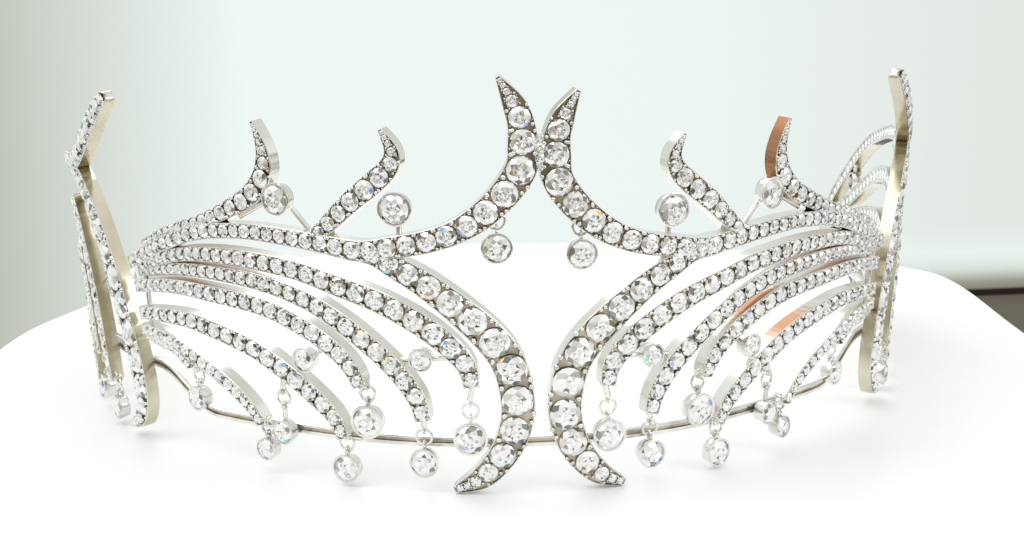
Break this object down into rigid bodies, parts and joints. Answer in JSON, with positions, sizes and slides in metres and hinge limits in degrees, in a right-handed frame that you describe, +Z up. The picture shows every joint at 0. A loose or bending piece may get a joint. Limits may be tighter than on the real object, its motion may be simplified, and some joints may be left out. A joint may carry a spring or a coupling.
{
  "type": "diadem",
  "caption": "Stone-set white-metal diadem of four scrolled wings whose feathery ribs curl up to horns and hang round collets on jump rings, joined by a low base band with eyes for a ribbon.",
  "frame": {"origin": "on the table, midway along and across the diadem", "axes": "+X to the wearer's left, which is the viewer's right; +Y from the front to the open back; +Z up"},
  "size_m": [0.151, 0.12, 0.06],
  "materials": {
    "white_metal": "polished",
    "clear_stone": "polished"
  },
  "bodies": {
    "root": {"wing_front_left": "white_metal", "wing_front_right": "white_metal", "wing_side_left": "white_metal", "wing_side_right": "white_metal", "base_band": "white_metal", "ribbon_eye_left": "white_metal", "ribbon_eye_right": "white_metal", "stones_front_left": "clear_stone", "stones_front_right": "clear_stone", "stones_side_left": "clear_stone", "stones_side_right": "clear_stone", "rings_front_left": "white_metal", "rings_front_right": "white_metal", "rings_side_left": "white_metal", "rings_side_right": "white_metal", "drop_left_1": "white_metal", "drop_left_2": "white_metal", "drop_left_3": "white_metal", "drop_left_4": "white_metal", "drop_left_5": "white_metal", "drop_left_6": "white_metal", "drop_left_7": "white_metal", "drop_left_8": "white_metal", "drop_left_9": "white_metal", "drop_left_10": "white_metal", "drop_right_1": "white_metal", "drop_right_2": "white_metal", "drop_right_3": "white_metal", "drop_right_4": "white_metal", "drop_right_5": "white_metal", "drop_right_6": "white_metal", "drop_right_7": "white_metal", "drop_right_8": "white_metal", "drop_right_9": "white_metal", "drop_right_10": "white_metal", "drop_stone_left_1": "clear_stone", "drop_stone_left_2": "clear_stone", "drop_stone_left_3": "clear_stone", "drop_stone_left_4": "clear_stone", "drop_stone_left_5": "clear_stone", "drop_stone_left_6": "clear_stone", "drop_stone_left_7": "clear_stone", "drop_stone_left_8": "clear_stone", "drop_stone_left_9": "clear_stone", "drop_stone_left_10": "clear_stone", "drop_stone_right_1": "clear_stone", "drop_stone_right_2": "clear_stone", "drop_stone_right_3": "clear_stone", "drop_stone_right_4": "clear_stone", "drop_stone_right_5": "clear_stone", "drop_stone_right_6": "clear_stone", "drop_stone_right_7": "clear_stone", "drop_stone_right_8": "clear_stone", "drop_stone_right_9": "clear_stone", "drop_stone_right_10": "clear_stone"}
  },
  "joints": []
}
